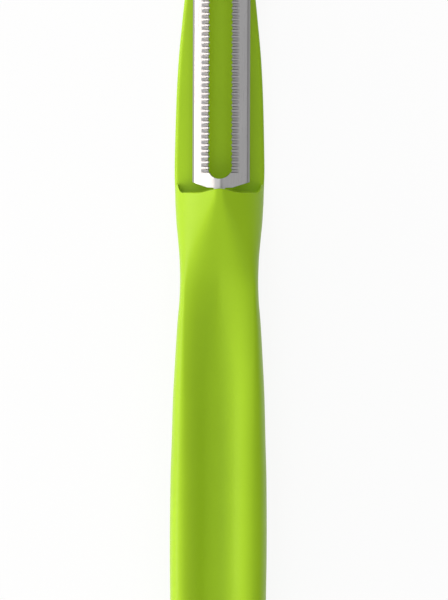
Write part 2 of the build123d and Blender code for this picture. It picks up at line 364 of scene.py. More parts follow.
def half_outline(y):
    """The right half of the moulding's section at y, from the middle of its back to the middle of its top."""
    place = (y - BUTT_Y) / HANDLE_LENGTH if y < SHOULDER_Y else 1 + (y - SHOULDER_Y) / HEAD_LENGTH
    half_width = PALM_WIDTH / 2 * between(WIDTH_SHARES, place)
    spread = GROOVE_WIDTH / 2 * between(CREST_SPREAD_SHARES, place)
    crest = CREST_HEIGHT * between(CREST_HEIGHT_SHARES, place)
    valley = RIDGE_HEIGHT * between(VALLEY_HEIGHT_SHARES, place)
    tilt = radians(FLANK_TILT * between(TILT_SHARES, place))
    reach = GROOVE_WIDTH / 2 * between(CREST_REACH_SHARES, place)
    widest = BELLY_HEIGHT * between(WIDEST_HEIGHT_SHARES, place)
    back = NOSE_RISE * between(BACK_RISE_SHARES, place) - REST_DEPTH
    head_form = between(HEAD_FORM_SHARES, place)
    land = half_width * (BACK_LAND_SHARE + head_form * (HEAD_LAND_SHARE - BACK_LAND_SHARE))
    side_soft = SIDE_SOFTNESS_SHARE + head_form * (HEAD_SOFTNESS_SHARE - SIDE_SOFTNESS_SHARE)
    crest_soft = CREST_SOFTNESS_SHARE + head_form * (HEAD_SOFTNESS_SHARE - CREST_SOFTNESS_SHARE)

    land_end, side, crest_top, valley_top = (land, back), (half_width, widest), (spread, crest), (0, valley)
    low_corner = (half_width, back)
    high_corner = (half_width, crest - (half_width - spread) * tan(tilt))
    outline = np.vstack([
        bezier([(0, back), land_end], LAND_STEPS),
        bezier([
            land_end,
            towards(land_end, low_corner, side_soft),
            towards(side, low_corner, side_soft),
            side,
        ], LOW_SIDE_STEPS),
        bezier([
            side,
            towards(side, high_corner, side_soft),
            towards(crest_top, high_corner, crest_soft),
            crest_top,
        ], HIGH_SIDE_STEPS),
        bezier([
            crest_top,
            (spread - reach * cos(tilt), crest + reach * sin(tilt)),
            (spread * between(VALLEY_SOFTNESS_SHARES, min(place, 1)), valley),
            valley_top,
        ], TOP_STEPS),
        [valley_top],
    ])
    depth = max(1 - (y - BUTT_Y) / BUTT_ROUND, 1 - (NOSE_Y - y) / NOSE_ROUND, 0)
    scale = (1 - min(depth, 1) ** END_FULLNESS) ** (1 / END_FULLNESS)
    middle = np.array([0, (back + valley) / 2])
    outline = middle + (outline - middle) * scale
    outline[:, 1] = np.maximum(outline[:, 1], 0)
    return outline


def crown(x):
    """Height of the bow's top above the floor."""
    return BOW_THICKNESS - BOW_CROWN_RADIUS + np.sqrt(BOW_CROWN_RADIUS**2 - np.asarray(x) ** 2)


def lengths(points):
    """Distance of each point along its line, from the first."""
    return np.concatenate([[0], np.cumsum(np.hypot(*np.diff(points, axis=0).T))])


def spaced(points, places):
    """Points at these distances along a line."""
    run = lengths(points)
    return np.column_stack([np.interp(places, run, points[:, 0]), np.interp(places, run, points[:, 1])])


def parting(outline):
    """Distance along a half outline at which it passes up through the bow's top."""
    above = outline[:, 1] - crown(outline[:, 0])
    i = int(np.argmax(above > 0))
    share = -above[i - 1] / (above[i] - above[i - 1])
    run = lengths(outline)
    return run[i - 1] + share * (run[i] - run[i - 1])


def bow_outline(outline, edge):
    """The half outline of the bow alone, its long edge rounded, and where along it the rounding starts."""
    cut = parting(outline)
    side = spaced(outline, np.linspace(0, cut, BOW_SIDE_STEPS + 1))
    corner = side[-1]
    xs = np.linspace(corner[0], 0, BOW_TOP_STEPS + 1)
    top = np.column_stack([xs, crown(xs)])
    reach = min(edge, cut / 3)
    start = spaced(side, [cut - reach])[0]
    end = spaced(top, [reach])[0]
    t = np.linspace(0, 1, BOW_EDGE_STEPS + 1)[:, None]
    pull = 2 * EDGE_FULLNESS_SHARE * t * (1 - t)
    arc = ((1 - t) ** 2 * start + pull * corner + t**2 * end) / ((1 - t) ** 2 + pull + t**2)
    kept_side = side[lengths(side) < cut - reach]
    kept_top = top[lengths(top) > reach]
    return np.vstack([kept_side, arc, kept_top]), cut - reach


def columns(outline, part_at):
    """The half outline at the mesh's columns: up to the parting, over the side strip, and beyond it."""
    run = lengths(outline)
    widest = int(np.argmax(outline[:, 0]))
    falling = outline[widest:, 0]
    strip_at = np.interp(-SIDE_STRIP_SHARE * falling[0], -falling, run[widest:])
    strip_at = max(strip_at, part_at + LEAST_STRIP)
    low = np.linspace(0, part_at, LOW_COLUMNS + 1)
    strip = np.linspace(part_at, strip_at, STRIP_COLUMNS + 1)[1:]
    high = np.linspace(strip_at, run[-1], HIGH_COLUMNS + 1)[1:]
    return spaced(outline, np.concatenate([low, strip, high]))


def eased(share):
    """The same share, started and ended gently."""
    share = np.clip(share, 0, 1)
    return share * share * (3 - 2 * share)


def quarter_turns(count):
    """Angles spread evenly over a quarter turn, its ends left out."""
    return [share * pi / 2 for share in np.linspace(0, 1, count + 2)[1:-1]]


def upright(heights):
    """Steps straight up, one for each column."""
    return np.column_stack([np.zeros_like(heights), heights])


def row(points, y):
    """A row of points, each column at its own y."""
    return np.column_stack([points[:, 0], y, points[:, 1]])


class HalfSkin:
    """The moulding's right half, as rows of points from the butt to the nose."""

    def __init__(self, settings):
        self.brow, self.foot = settings.brow / MM, settings.foot / MM
        self.corner, self.corner_run = settings.corner / MM, settings.corner_run / MM
        self.strip_ahead, self.strip_beyond = settings.strip_ahead / MM, settings.strip_beyond / MM
        self.spacing = settings.row_spacing / MM
        self.ys = np.append(np.arange(BUTT_Y, NOSE_Y, SECTION_STEP), NOSE_Y)
        self.outer, self.bow = self.sections(settings.bow_edge / MM)
        self.count = self.outer.shape[1]
        past_strip = LOW_COLUMNS + STRIP_COLUMNS + 1 - np.arange(self.count)
        self.strip = eased(past_strip / (STRIP_FADE_SHARE * STRIP_COLUMNS + 1))

    def sections(self, edge):
        """Columns of the moulding and of the bow at each y. Past the walls the bow keeps its last form."""
        low_part, high_part = half_outline(SHOULDER_Y), half_outline(NOSE_WALL_Y)
        low_share = bow_outline(low_part, edge)[1] / lengths(low_part)[-1]
        high_share = bow_outline(high_part, edge)[1] / lengths(high_part)[-1]
        outer, bow = [], []
        for y in self.ys:
            outline = half_outline(y)
            if SHOULDER_Y <= y <= NOSE_WALL_Y:
                shape, part_at = bow_outline(outline, edge)
                bow.append(columns(shape, part_at))
            else:
                part_at = (low_share if y < SHOULDER_Y else high_share) * lengths(outline)[-1]
            outer.append(columns(outline, part_at))
        before = int(np.count_nonzero(self.ys < SHOULDER_Y))
        after = int(np.count_nonzero(self.ys > NOSE_WALL_Y))
        return np.array(outer), np.array([bow[0]] * before + bow + [bow[-1]] * after)

    def at(self, table, y):
        """The columns of a table, each at its own y."""
        i = np.clip(((y - self.ys[0]) / SECTION_STEP).astype(int), 0, len(self.ys) - 2)
        share = ((y - self.ys[i]) / (self.ys[i + 1] - self.ys[i]))[:, None]
        column = np.arange(self.count)
        return table[i, column] * (1 - share) + table[i + 1, column] * share

    def wall_place(self, x, y_wall, inward, half_width):
        """Where an end wall stands at x: it bulges round the tang and sweeps round towards the sides."""
        x = np.abs(x)
        inside = np.clip(x / (BOSS_WIDTH / 2), 0, 1)
        boss = BOSS_REACH * (0.5 + 0.5 * np.cos(pi * inside))
        corner_start = half_width * SIDE_STRIP_SHARE - self.corner
        sweep = self.corner_run * np.clip((x - corner_start) / self.corner, 0, 1) ** 3
        return y_wall + inward * (boss + sweep)

    def wall(self, y_wall, inward):
        """Rows over an end wall: its brow, its face and its foot, down to the bow."""
        outline = self.at(self.outer, np.full(self.count, y_wall))
        half_width = outline[:, 0].max()
        y_here = self.wall_place(outline[:, 0], y_wall, inward, half_width)
        high, low = self.at(self.outer, y_here), self.at(self.bow, y_here)
        ahead = np.gradient(high, axis=0)
        normal = np.column_stack([ahead[:, 1], -ahead[:, 0]])
        normal /= np.linalg.norm(normal, axis=1)[:, None]
        normal[-1] = (0, 1)
        height = np.maximum(high[:, 1] - low[:, 1], 0)
        height[: LOW_COLUMNS + 1] = 0
        fade = eased(height / (FULL_WALL_SHARE * (self.brow + self.foot))) * (1 - self.strip)
        brow = np.minimum(self.brow, height * WALL_ROUND_SHARE)
        foot = np.minimum(self.foot, height * WALL_ROUND_SHARE)
        top, bottom = high - normal * brow[:, None], low + upright(foot)
        steps = [("brow", a * pi / 2) for a in np.linspace(0, 1, BROW_ROWS)]
        steps += [("face", a) for a in np.linspace(0, 1, FACE_ROWS + 2)[1:-1]]
        steps += [("foot", a * pi / 2) for a in np.linspace(0, 1, FOOT_ROWS)]
        rows = []
        for number, (part, a) in enumerate(steps):
            if part == "brow":
                points = high - normal * (brow * (1 - cos(a)))[:, None]
                offset = -brow * (1 - sin(a))
            elif part == "face":
                points = top + (bottom - top) * a
                offset = np.zeros(self.count)
            else:
                points = low + upright(foot * (1 - sin(a)))
                offset = foot * (1 - cos(a))
            share = number / (len(steps) - 1)
            along = self.strip * (-self.strip_ahead + (self.strip_ahead + self.strip_beyond) * share)
            y_plain = y_here + inward * along
            plain_high, plain_low = self.at(self.outer, y_plain), self.at(self.bow, y_plain)
            plain = plain_high + (plain_low - plain_high) * eased(share)
            points = plain + (points - plain) * fade[:, None]
            offset = (1 - fade) * (-self.brow + (self.brow + self.foot) * share) + fade * offset + along
            y = self.wall_place(points[:, 0], y_wall, inward, half_width) + inward * offset
            rows.append(row(points, y))
        return rows

    def plain_row(self, table, y):
        """A row away from the walls. Near a wall its columns are moved along, to follow the wall's plan."""
        moved = np.full(self.count, y)
        for y_wall, inward in ((SHOULDER_Y, 1), (NOSE_WALL_Y, -1)):
            near = eased(1 - abs(y - y_wall) / SHIFT_REACH)
            if near > 0:
                inside = (y - y_wall) * inward > 0
                points = self.at(self.bow if inside else self.outer, np.full(self.count, y_wall))
                target = self.wall_place(points[:, 0], y_wall, inward, points[:, 0].max())
                target = target + inward * self.strip * (self.strip_beyond if inside else -self.strip_ahead)
                moved = moved + near * (target - y_wall)
        return row(self.at(table, moved), moved)

    def evenly(self, start, end):
        """Places for rows from start to end, at the row spacing."""
        return np.linspace(start, end, int((end - start) / self.spacing))

    def rows(self):
        """All rows of the half, each with a point for every column."""
        butt = [BUTT_Y + BUTT_ROUND * (1 - cos(a)) for a in quarter_turns(BUTT_ROWS)]
        grip = self.evenly(BUTT_Y + BUTT_ROUND, SHOULDER_Y - self.brow - WALL_MARGIN)
        bow = self.evenly(SHOULDER_Y + self.foot + WALL_MARGIN, NOSE_WALL_Y - self.foot - WALL_MARGIN)
        nose = self.evenly(NOSE_WALL_Y + self.brow + WALL_MARGIN, NOSE_Y - NOSE_ROUND)
        tip = [NOSE_Y - NOSE_ROUND * (1 - sin(a)) for a in quarter_turns(TIP_ROWS)]
        return np.array([
            *[self.plain_row(self.outer, y) for y in (*butt, *grip)],
            *self.wall(SHOULDER_Y, 1),
            *[self.plain_row(self.bow, y) for y in bow],
            *reversed(self.wall(NOSE_WALL_Y, -1)),
            *[self.plain_row(self.outer, y) for y in (*nose, *tip)],
        ])


def ringed(rows, ends):
    """Vertices and faces of a closed skin over half rows and their mirror image, with a point at each end."""
    count, width = rows.shape[:2]
    left = rows[:, -2:0:-1].copy()
    left[:, :, 0] *= -1
    full = np.concatenate([rows, left], axis=1)
    full[:, 0, 0] = full[:, width - 1, 0] = 0
    ring = full.shape[1]
    vertices = [tuple(p) for p in full.reshape(-1, 3)]
    faces = []
    for i in range(count - 1):
        for k in range(ring):
            n = (k + 1) % ring
            faces.append((i * ring + k, i * ring + n, (i + 1) * ring + n, (i + 1) * ring + k))
    for end, last_row, turn in ((ends[0], 0, 1), (ends[1], count - 1, -1)):
        tip = len(vertices)
        vertices.append(tuple(end))
        for k in range(ring):
            n = (k + 1) % ring
            pair = (last_row * ring + k, last_row * ring + n)
            faces.append((tip, pair[1], pair[0]) if turn > 0 else (tip, pair[0], pair[1]))
    return vertices, faces


def smoothed(mesh, sharp=HANDLE_SHARP_EDGE):
    """Shades a mesh smooth, but for its sharp edges."""
    mesh.polygons.foreach_set("use_smooth", [True] * len(mesh.polygons))
    mesh.set_sharp_from_angle(angle=sharp)


def as_object(name, vertices, faces, material=None):
    """A mesh object made from vertices in millimetres."""
    mesh = bpy.data.meshes.new(name)
    mesh.from_pydata([tuple(c * MM for c in v) for v in vertices], [], faces)
    mesh.validate()
    mesh.update()
    smoothed(mesh)
    if material:
        mesh.materials.append(material)
    made = bpy.data.objects.new(name, mesh)
    bpy.context.scene.collection.objects.link(made)
    return made


def masked(made, masks):
    """The same object, its points marked with how far the grinding and its painted shade reach them."""
    mark = made.data.attributes.new("ground_and_shade", "FLOAT", "POINT")
    mark.data.foreach_set("value", np.array(masks, dtype=np.float32))
    return made


def settled(source, name):
    """A plain object from a source as its modifiers leave it. The source goes."""
    graph = bpy.context.evaluated_depsgraph_get()
    mesh = bpy.data.meshes.new_from_object(source.evaluated_get(graph))
    made = bpy.data.objects.new(name, mesh)
    mesh.name = name
    bpy.context.scene.collection.objects.link(made)
    bpy.data.objects.remove(source)
    return made


def round_bar(name, radius, low, high, height):
    """A closed round bar along Y, in millimetres."""
    vertices, faces = [], []
    for y in (low, high):
        for k in range(BORE_SIDES):
            turn = 2 * pi * k / BORE_SIDES
            vertices.append((radius * cos(turn), y, height + radius * sin(turn)))
    for k in range(BORE_SIDES):
        n = (k + 1) % BORE_SIDES
        faces.append((k, k + BORE_SIDES, n + BORE_SIDES, n))
    faces.append(tuple(range(BORE_SIDES)))
    faces.append(tuple(reversed(range(BORE_SIDES, 2 * BORE_SIDES))))
    return as_object(name, vertices, faces)


class Varying:
    """A value that changes over a surface. Sums and products on it add the nodes that work them out."""

    def __init__(self, finish, socket):
        self.finish, self.socket = finish, socket

    def _worked(self, operation, first, second):
        return self.finish.node("ShaderNodeMath", {"operation": operation}, {0: first, 1: second})

    def __add__(self, other):
        return self._worked("ADD", self, other)

    __radd__ = __add__

    def __mul__(self, other):
        return self._worked("MULTIPLY", self, other)

    __rmul__ = __mul__


class Finish:
    """A material, and the one way in which nodes are added to it."""

    def __init__(self, name):
        self.material = bpy.data.materials.new(name)
        self.material.use_nodes = True
        self.nodes = self.material.node_tree.nodes
        self.links = self.material.node_tree.links
        self.nodes.clear()

    def node(self, kind, settings=None, inputs=None, output=0):
        """The chosen output of a new node, once its settings and its sockets are filled in."""
        made = self.nodes.new(kind)
        for key, value in (settings or {}).items():
            setattr(made, key, value)
        for key, value in (inputs or {}).items():
            if isinstance(value, Varying):
                self.links.new(value.socket, made.inputs[key])
            else:
                made.inputs[key].default_value = value
        return Varying(self, made.outputs[output]) if len(made.outputs) else None

    def place(self, scale):
        """Object coordinates, stretched by this scale."""
        where = self.node("ShaderNodeTexCoord", output="Object")
        return self.node("ShaderNodeVectorMath", {"operation": "MULTIPLY"}, {0: where, 1: scale})

    def noise(self, scale, detail=2.0, roughness=0.5):
        """Noise on Object coordinates, from 0 to 1."""
        return self.node("ShaderNodeTexNoise", {}, {
            "Vector": self.place(scale), "Scale": 1.0, "Detail": detail, "Roughness": roughness,
        })

    def mixed(self, share, first, second):
        """A colour between two others."""
        return self.node(
            "ShaderNodeMix", {"data_type": "RGBA"}, {"Factor": share, 6: first, 7: second}, output=2,
        )

    def ranged(self, value, low, high, new_low, new_high):
        """A value between two others, where the first runs from low to high."""
        return self.node("ShaderNodeMapRange", {}, {
            "Value": value, "From Min": low, "From Max": high, "To Min": new_low, "To Max": new_high,
        })

    def surface(self, inputs):
        """The finished material, with one plain shader."""
        shader = self.node("ShaderNodeBsdfPrincipled", {}, inputs)
        self.node("ShaderNodeOutputMaterial", {}, {"Surface": shader})
        return self.material


def scaled(colour, factor):
    """A colour made lighter or darker."""
    return (*[min(1.0, c * factor) for c in colour[:3]], 1.0)


def lime_plastic(colour, grain):
    """Moulded lime plastic with a fine spark-eroded grain."""
    finish = Finish("lime_plastic")
    cloudy = finish.noise((55.0,) * 3, detail=3.0)
    speckle = finish.noise((0.45 / grain,) * 3, roughness=0.6)
    fine = finish.noise((1.0 / grain,) * 3, roughness=0.6)
    tint = finish.ranged(cloudy * 0.7 + speckle * 0.3, 0.35, 0.65, 0.0, 1.0)
    deeper, paler = scaled(colour, 0.965), scaled(colour, 1.035)
    return finish.surface({
        "Base Color": finish.mixed(tint, deeper, paler),
        "Roughness": finish.ranged(speckle, 0.3, 0.7, 0.40, 0.50),
        "IOR": 1.5,
        "Specular IOR Level": 0.28,
        "Normal": finish.node("ShaderNodeBump", {}, {
            "Strength": 0.5, "Distance": grain * 0.10, "Height": fine,
        }),
    })


def blade_steel(colour):
    """Stainless strip with a satin grain along its length, and painted shade in its flutes and on its rim."""
    finish = Finish("blade_steel")
    grain = finish.noise((9000.0, 160.0, 9000.0), detail=3.0, roughness=0.6)
    cloudy = finish.noise((300.0, 120.0, 300.0))
    tint = finish.ranged(grain * 0.6 + cloudy * 0.4, 0.3, 0.7, 0.0, 1.0)
    # Where the flutes are cut and along the rim the steel is rougher, and its colour is darkened as painted
    # shade for the darker reflections there
    ground_and_shade = finish.node("ShaderNodeAttribute", {"attribute_name": "ground_and_shade"}, output="Fac")
    deeper, paler, painted_shade_colour = scaled(colour, 0.95), scaled(colour, 1.05), scaled(colour, 0.66)
    return finish.surface({
        "Base Color": finish.mixed(ground_and_shade, finish.mixed(tint, deeper, paler), painted_shade_colour),
        "Metallic": 1.0,
        "Roughness": finish.ranged(grain, 0.3, 0.7, 0.26, 0.36) + ground_and_shade * 0.12,
        "Normal": finish.node("ShaderNodeBump", {}, {
            "Strength": 0.25, "Distance": 0.004 * MM, "Height": grain,
        }),
    })


def floor_paper():
    """Pale paper that the camera and reflections see nearly white, and that is clear from below."""
    paper = Finish("paper")
    mottle = paper.ranged(paper.noise((40.0,) * 3), 0.3, 0.7, 0.0, 1.0)
    matte = paper.node("ShaderNodeBsdfDiffuse", {}, {
        "Color": paper.mixed(mottle, (0.88, 0.88, 0.88, 1), (0.90, 0.90, 0.90, 1)),
    })
    white = paper.node("ShaderNodeEmission", {}, {"Color": (1, 1, 1, 1), "Strength": 1.0})
    from_camera = paper.node("ShaderNodeLightPath", output="Is Camera Ray")
    from_gloss = paper.node("ShaderNodeLightPath", output="Is Glossy Ray")
    through = paper.node("ShaderNodeLightPath", output="Is Transmission Ray")
    seen = paper.node("ShaderNodeMath", {"operation": "ADD", "use_clamp": True}, {
        0: from_camera, 1: from_gloss + through,
    })
    above = paper.node("ShaderNodeMixShader", {}, {0: seen * 0.90, 1: matte, 2: white})
    clear = paper.node("ShaderNodeBsdfTransparent")
    below = paper.node("ShaderNodeNewGeometry", output="Backfacing")
    one_sided = paper.node("ShaderNodeMixShader", {}, {0: below, 1: above, 2: clear})
    paper.node("ShaderNodeOutputMaterial", {}, {"Surface": one_sided})
    return paper.material


def strip_top(x):
    """Height and slope of the level blade's upper face, x from the fold."""
    turn = np.clip(x / FOLD_RADIUS, -sin(FOLD_TILT), sin(FOLD_TILT))
    on_fold = FOLD_TOP - FOLD_RADIUS + np.sqrt(FOLD_RADIUS**2 - np.minimum(x, FOLD_RADIUS) ** 2)
    on_flank = FOLD_CORNER - x * tan(FOLD_TILT)
    tangent = RIM_BEND_RADIUS * tan(RIM_TURN / 2)
    bend_start = BEND_X - tangent * cos(FOLD_TILT)
    bend_end = BEND_X + tangent * cos(FOLD_TILT + RIM_TURN)
    centre_x = bend_start - RIM_BEND_RADIUS * sin(FOLD_TILT)
    centre_z = FOLD_CORNER - bend_start * tan(FOLD_TILT) - RIM_BEND_RADIUS * cos(FOLD_TILT)
    along = np.clip((x - centre_x) / RIM_BEND_RADIUS, -1, 1)
    on_bend = centre_z + RIM_BEND_RADIUS * np.sqrt(1 - along**2)
    on_rim = BEND_Z - (x - BEND_X) * tan(FOLD_TILT + RIM_TURN)
    fold_end = FOLD_RADIUS * sin(FOLD_TILT)
    stretches = [x < fold_end, x < bend_start, x < bend_end]
    z = np.select(stretches, [on_fold, on_flank, on_bend], on_rim)
    flank_slope = np.full_like(x, FOLD_TILT)
    slope = np.select(stretches, [np.arcsin(turn), flank_slope, np.arcsin(along)], FOLD_TILT + RIM_TURN)
    return z, slope


# Columns across half the strip: up to 1 they fill the band of the flutes, and up to 2 the rest of the flank
COLUMN_SHARES = (
    0.0, 0.07, 0.15, 0.24, 0.34, 0.45, 0.56, 0.67, 0.77, 0.84, 0.875, 0.90, 0.93, 1.0,
    1.12, 1.28, 1.44, 1.56, 1.63, 1.68, 1.73, 1.78, 1.84, 1.92, 2.0,
)
BAND_SHARE = 0.71
# Rows over half a tooth, as shares of the pitch, and over a whole one
HALF_TOOTH_SHARES = (0.08, 0.16, 0.24, 0.29, 0.325, 0.35, 0.42, 0.5)
TOOTH_SHARES = (*[-share for share in reversed(HALF_TOOTH_SHARES)], 0, *HALF_TOOTH_SHARES)
# Rows past the slot, as shares of the land between slot and cut corners, and of the cut corners
END_LAND_SHARES = (0.35, 0.7, 1)
CORNER_CUT_SHARES = (0.15, 0.4, 0.7, 0.93, 1)
SLOT_END_ROWS = 9

# How a flute runs out down the flank: what it loses of its depth, and the last of its reach, where it ends
FLUTE_FALL_SHARE = 0.84
FLUTE_END_SHARE = 0.25
# How steeply the grinding's look and its painted shade fade across a flute and at its end, and how much painted
# shade and roughness the rim takes
GROUND_AND_SHADE_FADE_ACROSS = 1.4
GROUND_AND_SHADE_FADE_ALONG = 2
RIM_SHADE_SHARE = 0.8


def strip_row(y, x_in, x_out, flute, settings):
    """Upper and lower points across half the strip at y, and how much grinding and painted shade each takes.

    flute says how fully a flute is cut there, from 0 to 1.
    """
    shares = np.array(COLUMN_SHARES)
    band_end = BAND_SHARE * x_out
    xs = np.where(shares < 1, x_in + (band_end - x_in) * shares, band_end + (x_out - band_end) * (shares - 1))
    z, slope = strip_top(xs)
    down_flank = (xs - settings.slot_width / MM / 2) / cos(FOLD_TILT)
    along = np.clip(down_flank / (settings.flute_reach / MM), 0, 1)
    end = eased((1 - along) / FLUTE_END_SHARE)
    depth = settings.flute_depth / MM * flute * (1 - FLUTE_FALL_SHARE * along) * end
    ground_and_shade = np.clip(flute * GROUND_AND_SHADE_FADE_ACROSS, 0, 1) * np.clip(end * GROUND_AND_SHADE_FADE_ALONG, 0, 1)
    # On the rim the mask paints shade and adds roughness
    ground_and_shade = np.where(xs > BEND_X, RIM_SHADE_SHARE, ground_and_shade)
    normal = np.column_stack([np.sin(slope), np.zeros_like(xs), np.cos(slope)])
    surface = np.column_stack([xs, np.full_like(xs, y), z])
    return surface - normal * depth[:, None], surface - normal * SHEET, ground_and_shade


def flute_at(offset, settings):
    """How fully a flute is cut at this distance from its middle line."""
    half = settings.tooth_pitch / MM * settings.flute_share / 2
    share = min(abs(offset) / half, 1)
    return 1 - share**3


def half_strip(rows, open_in, closed_end):
    """Faces of half a strip from its rows. open_in says, row by row, where the slot leaves an inner edge."""
    width = len(COLUMN_SHARES)
    vertices, faces, masks = [], [], []
    for top, bottom, ground_and_shade in rows:
        vertices += [tuple(p) for p in top] + [tuple(p) for p in bottom]
        masks += [*ground_and_shade, *ground_and_shade]
    step = 2 * width
    for i in range(len(rows) - 1):
        a, b = i * step, (i + 1) * step
        for k in range(width - 1):
            faces.append((a + k, a + k + 1, b + k + 1, b + k))
            faces.append((a + width + k + 1, a + width + k, b + width + k, b + width + k + 1))
        faces.append((a + width - 1, a + step - 1, b + step - 1, b + width - 1))
        if open_in[i] or open_in[i + 1]:
            faces.append((a + width, a, b, b + width))
    if closed_end:
        a = (len(rows) - 1) * step
        for k in range(width - 1):
            faces.append((a + k, a + k + 1, a + width + k + 1, a + width + k))
    return vertices, faces, masks


def both_sides(vertices, faces, masks):
    """Adds the mirror image on the other side of the fold, its faces turned to point outwards."""
    count = len(vertices)
    mirror = [(-x, y, z) for x, y, z in vertices]
    turned = [tuple(count + i for i in reversed(face)) for face in faces]
    return vertices + mirror, faces + turned, masks + masks


def swung(vertices, settings):
    """The points turned about the tangs and lifted to the axis."""
    level, rise = cos(settings.swing), sin(settings.swing)
    return [
        (x * level + z * rise, y + BLADE_MIDDLE, AXIS_HEIGHT - x * rise + z * level)
        for x, y, z in vertices
    ]


def tooth_tile(settings):
    """One pitch of the slotted strip, level and centred on a flute."""
    pitch, half_slot = settings.tooth_pitch / MM, settings.slot_width / MM / 2
    rows = []
    for share in TOOTH_SHARES:
        y = share * pitch
        flute = flute_at(y, settings)
        rows.append(strip_row(y, half_slot + settings.scallop / MM * flute, HALF_BLADE, flute, settings))
    return both_sides(*half_strip(rows, [True] * len(rows), False))


def blade_end(settings, end):
    """A closed end of the strip: one more flute, the slot's rounded end, the cut corners and the tang."""
    pitch, half_slot = settings.tooth_pitch / MM, settings.slot_width / MM / 2
    start = settings.tooth_count * pitch / 2
    slot_end = settings.slot_length / MM / 2
    rounding = slot_end - start
    blade_half, tang = BLADE_LENGTH / 2, TANG_WIDTH / 2
    corner_at = blade_half - CORNER_CUT_LENGTH

    slotted = [(share + 0.5) * pitch + start for share in TOOTH_SHARES]
    flute_end = np.arcsin(pitch / rounding)
    slotted += [start + rounding * sin(a) for a in np.linspace(flute_end, pi / 2, SLOT_END_ROWS + 1)[1:]]
    rows, open_in = [], []
    for y in slotted:
        inside = half_slot * max(0, 1 - ((y - start) / rounding) ** 2) ** 0.5
        flute = flute_at(y - start - pitch / 2, settings) if y < start + pitch else 0
        rows.append(strip_row(y, inside + settings.scallop / MM * flute, HALF_BLADE, flute, settings))
        open_in.append(inside > 0)

    closed = [(slot_end + (corner_at - slot_end) * share, HALF_BLADE) for share in END_LAND_SHARES]
    closed += [
        (corner_at + CORNER_CUT_LENGTH * share, HALF_BLADE - CORNER_CUT_WIDTH * share)
        for share in CORNER_CUT_SHARES
    ]
    closed += [(blade_half + past, tang + out) for past, out in TANG_ROOT]
    closed += [(blade_half + TANG_STRAIGHT, tang), (blade_half + TANG_REACH, tang)]
    for y, x_out in closed:
        rows.append(strip_row(y, 0, x_out, 0, settings))
        open_in.append(False)
    vertices, faces, masks = both_sides(*half_strip(rows, open_in, True))
    if end < 0:
        vertices = [(x, -y, z) for x, y, z in vertices]
        faces = [tuple(reversed(face)) for face in faces]
    return vertices, faces, masks


def teeth_tree():
    """Geometry nodes that repeat a tooth along the slot, join both ends of the blade and merge the seams."""
    tree = bpy.data.node_groups.new("Blade teeth", "GeometryNodeTree")
    for name, kind in (
        ("Tooth", "Geometry"), ("Ends", "Object"), ("Count", "Int"),
        ("Pitch", "Float"), ("Seam", "Float"), ("Finish", "Material"),
    ):
        tree.interface.new_socket(name, in_out="INPUT", socket_type=f"NodeSocket{kind}")
    tree.interface.new_socket("Blade", in_out="OUTPUT", socket_type="NodeSocketGeometry")

    def add(kind, **settings):
        made = tree.nodes.new(kind)
        for key, value in settings.items():
            setattr(made, key, value)
        return made

    given, result = add("NodeGroupInput"), add("NodeGroupOutput")
    less = add("ShaderNodeMath", operation="SUBTRACT")
    less.inputs[1].default_value = 1.0
    span = add("ShaderNodeMath", operation="MULTIPLY")
    half = add("ShaderNodeMath", operation="MULTIPLY")
    half.inputs[1].default_value = -0.5
    start, step = add("ShaderNodeCombineXYZ"), add("ShaderNodeCombineXYZ")
    line = add("GeometryNodeMeshLine", mode="OFFSET")
    copies = add("GeometryNodeInstanceOnPoints")
    real = add("GeometryNodeRealizeInstances")
    ends = add("GeometryNodeObjectInfo", transform_space="ORIGINAL")
    join = add("GeometryNodeJoinGeometry")
    merge = add("GeometryNodeMergeByDistance")
    material = add("GeometryNodeSetMaterial")
    for out, into in (
        (given.outputs["Count"], less.inputs[0]),
        (less.outputs[0], span.inputs[0]),
        (given.outputs["Pitch"], span.inputs[1]),
        (span.outputs[0], half.inputs[0]),
        (half.outputs[0], start.inputs["Y"]),
        (given.outputs["Pitch"], step.inputs["Y"]),
        (given.outputs["Count"], line.inputs["Count"]),
        (start.outputs[0], line.inputs["Start Location"]),
        (step.outputs[0], line.inputs["Offset"]),
        (line.outputs["Mesh"], copies.inputs["Points"]),
        (given.outputs["Tooth"], copies.inputs["Instance"]),
        (copies.outputs["Instances"], join.inputs[0]),
        (given.outputs["Ends"], ends.inputs["Object"]),
        (ends.outputs["Geometry"], join.inputs[0]),
        (join.outputs[0], real.inputs[0]),
        (real.outputs[0], merge.inputs["Geometry"]),
        (given.outputs["Seam"], merge.inputs["Distance"]),
        (merge.outputs[0], material.inputs["Geometry"]),
        (given.outputs["Finish"], material.inputs["Material"]),
        (material.outputs[0], result.inputs[0]),
    ):
        tree.links.new(out, into)
    return tree


def set_input(modifier, name, value):
    """Sets a named input of a geometry nodes modifier by its identifier."""
    for item in modifier.node_group.interface.items_tree:
        if item.item_type == "SOCKET" and item.in_out == "INPUT" and item.name == name:
            modifier[item.identifier] = value
            return
    raise ValueError(f"the tree has no input named {name}")


